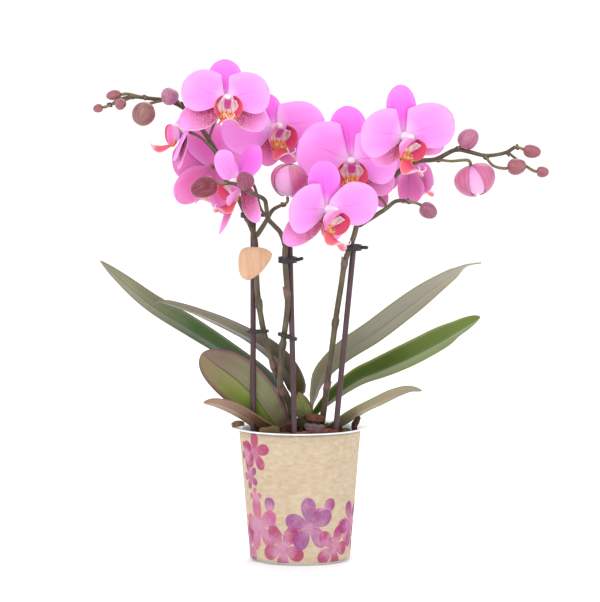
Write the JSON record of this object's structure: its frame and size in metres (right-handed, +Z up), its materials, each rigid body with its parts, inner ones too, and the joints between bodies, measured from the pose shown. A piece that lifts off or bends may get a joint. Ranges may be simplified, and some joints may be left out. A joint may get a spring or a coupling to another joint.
{
  "type": "potted moth orchid",
  "caption": "Miniature moth orchid with pink flowers and buds on staked spikes, in a white pot with a printed paper sleeve.",
  "frame": {"origin": "on the pot's axis, at the plane that the pot rests on", "axes": "+Z up along the pot's axis; the flowers' main side faces -Y; +X to the viewer's right"},
  "size_m": [0.3212, 0.1188, 0.3546],
  "materials": {
    "pot_plastic": "satin",
    "sleeve_paper": "matte",
    "bark": "matte",
    "stick": "satin",
    "clip": "satin",
    "tag_wood": "matte",
    "stem": "satin",
    "crown": "matte",
    "leaf": "satin",
    "petal": "matte",
    "lip": "satin",
    "bud": "satin"
  },
  "bodies": {
    "root": {"pot": "pot_plastic", "label_sleeve": "sleeve_paper", "bark": "bark", "crown_left": "crown", "crown_right": "crown", "stick_left": "stick", "stick_centre": "stick", "stick_right": "stick", "spike_left": "stem", "spike_centre": "stem", "spike_right": "stem", "leaf_left_long": "leaf", "leaf_left_upper": "leaf", "leaf_left_front": "leaf", "leaf_left_small": "leaf", "leaf_right_upper": "leaf", "leaf_right_middle": "leaf", "leaf_right_small": "leaf", "leaf_centre_young": "leaf", "clip_left_lower": "clip", "clip_left_upper": "clip", "clip_centre_lower": "clip", "clip_centre_upper": "clip", "clip_right_upper": "clip", "tag": "tag_wood", "flower_top_left_tepals": "petal", "flower_top_left_lip": "lip", "flower_far_left_tepals": "petal", "flower_far_left_lip": "lip", "flower_back_left_tepals": "petal", "flower_back_left_lip": "lip", "flower_upper_centre_tepals": "petal", "flower_upper_centre_lip": "lip", "flower_low_left_tepals": "petal", "flower_low_left_lip": "lip", "flower_centre_tepals": "petal", "flower_centre_lip": "lip", "flower_front_tepals": "petal", "flower_front_lip": "lip", "flower_top_right_tepals": "petal", "flower_top_right_lip": "lip", "flower_back_right_tepals": "petal", "flower_back_right_lip": "lip", "flower_back_centre_tepals": "petal", "flower_back_centre_lip": "lip", "bud_left_1": "bud", "bud_left_2": "bud", "bud_left_3": "bud", "bud_left_4": "bud", "bud_left_5": "bud", "bud_middle_1": "bud", "bud_middle_2": "bud", "bud_middle_3": "bud", "bud_right_1": "bud", "bud_right_2": "bud", "bud_right_3": "bud", "bud_right_4": "bud", "bud_right_5": "bud", "bud_right_6": "bud"}
  },
  "joints": []
}
